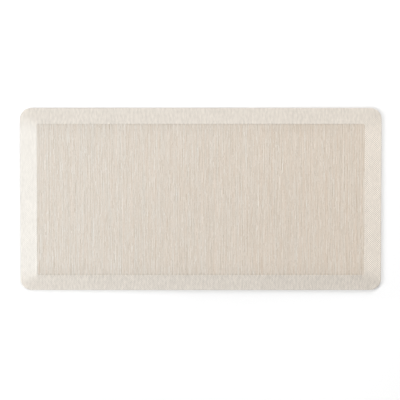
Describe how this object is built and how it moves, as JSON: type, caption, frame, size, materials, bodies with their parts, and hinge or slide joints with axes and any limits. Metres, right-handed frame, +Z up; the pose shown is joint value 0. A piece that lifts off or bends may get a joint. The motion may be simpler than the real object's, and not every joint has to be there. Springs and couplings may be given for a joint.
{
  "type": "anti-fatigue mat",
  "caption": "Flat cushioned standing mat with a ribbed woven-look centre panel, a sloped woven border with rounded corners, a layered foam core and a non-slip base.",
  "frame": {"origin": "on the floor, under the centre of the mat", "axes": "+X along the mat's length, +Y across its width towards the rear edge, +Z up from the floor"},
  "size_m": [0.99, 0.502, 0.019],
  "materials": {
    "face_weave": "matte",
    "border_weave": "matte",
    "comfort_gel": "satin",
    "support_foam": "matte",
    "edge_foam": "matte",
    "non_slip_rubber": "matte"
  },
  "bodies": {
    "root": {"face_panel": "face_weave", "border_cover": "border_weave", "gel_pad": "comfort_gel", "support_foam": "support_foam", "edge_wedge_front": "edge_foam", "edge_wedge_rear": "edge_foam", "edge_wedge_left": "edge_foam", "edge_wedge_right": "edge_foam", "base_sheet": "non_slip_rubber"}
  },
  "joints": []
}
